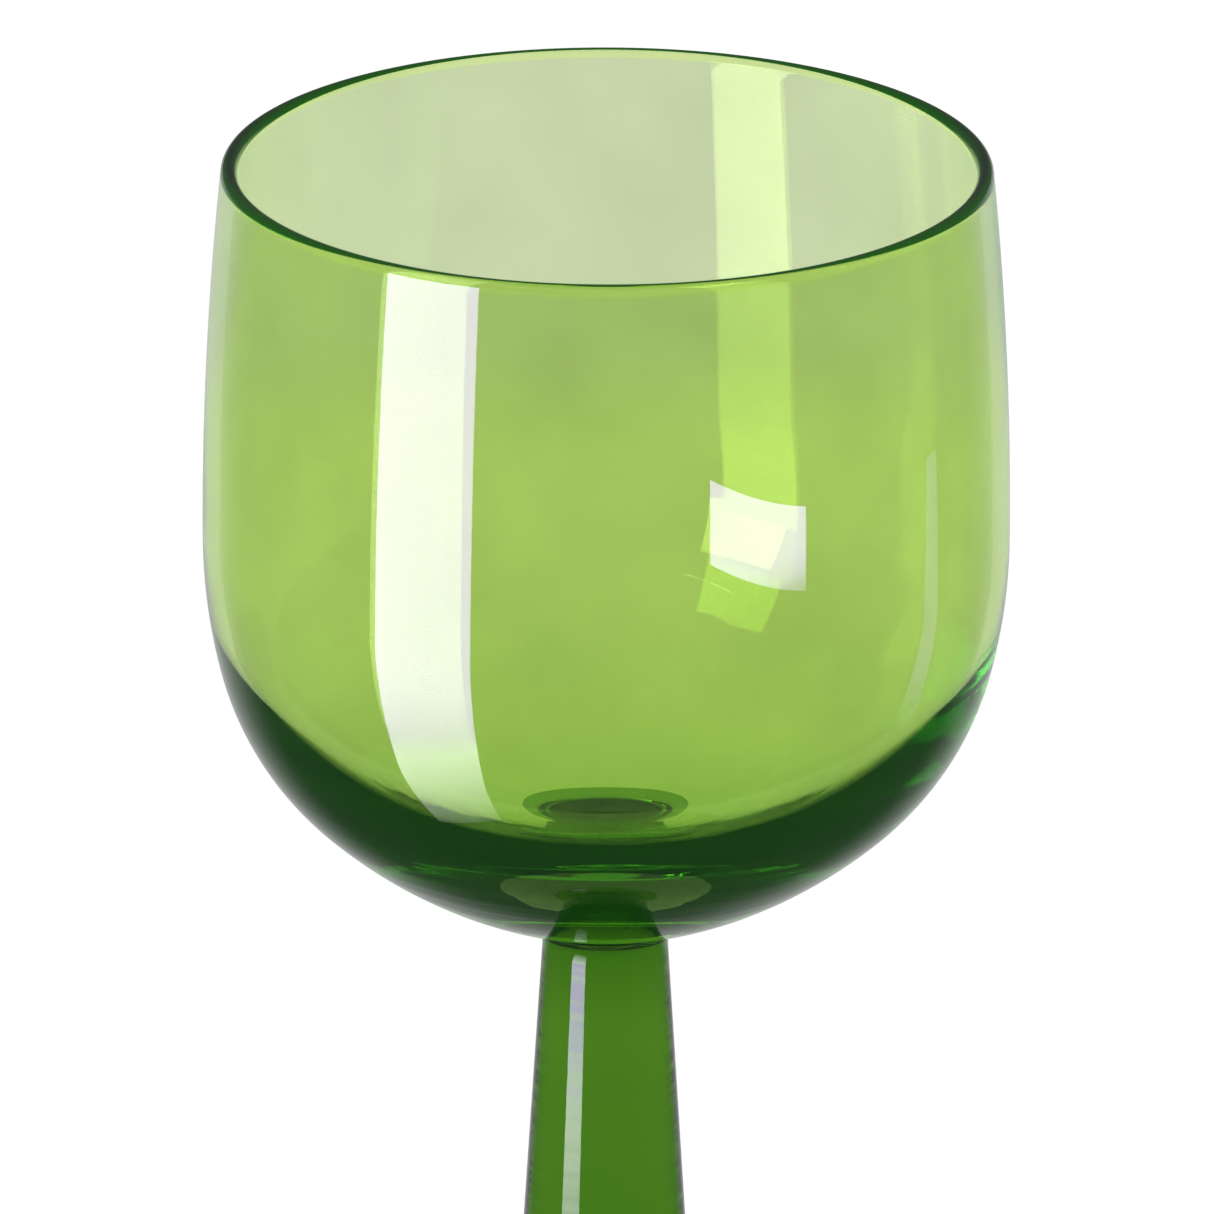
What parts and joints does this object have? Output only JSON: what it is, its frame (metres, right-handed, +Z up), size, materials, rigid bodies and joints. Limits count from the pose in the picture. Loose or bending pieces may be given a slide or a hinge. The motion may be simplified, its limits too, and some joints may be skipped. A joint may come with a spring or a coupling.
{
  "type": "wine glass",
  "caption": "Stemmed wine glass of green tinted glass: rounded cup bowl with a thick bottom, solid tapering stem, flat round foot.",
  "frame": {"origin": "centre of the resting ring under the foot, on the table plane", "axes": "+Z up along the glass's axis of revolution, from the foot to the rim; X and Y are level and alike"},
  "size_m": [0.085, 0.085, 0.18],
  "materials": {
    "bowl_glass": "polished",
    "stem_glass": "polished",
    "foot_glass": "polished"
  },
  "bodies": {
    "root": {"bowl": "bowl_glass", "stem": "stem_glass", "foot": "foot_glass"}
  },
  "joints": []
}
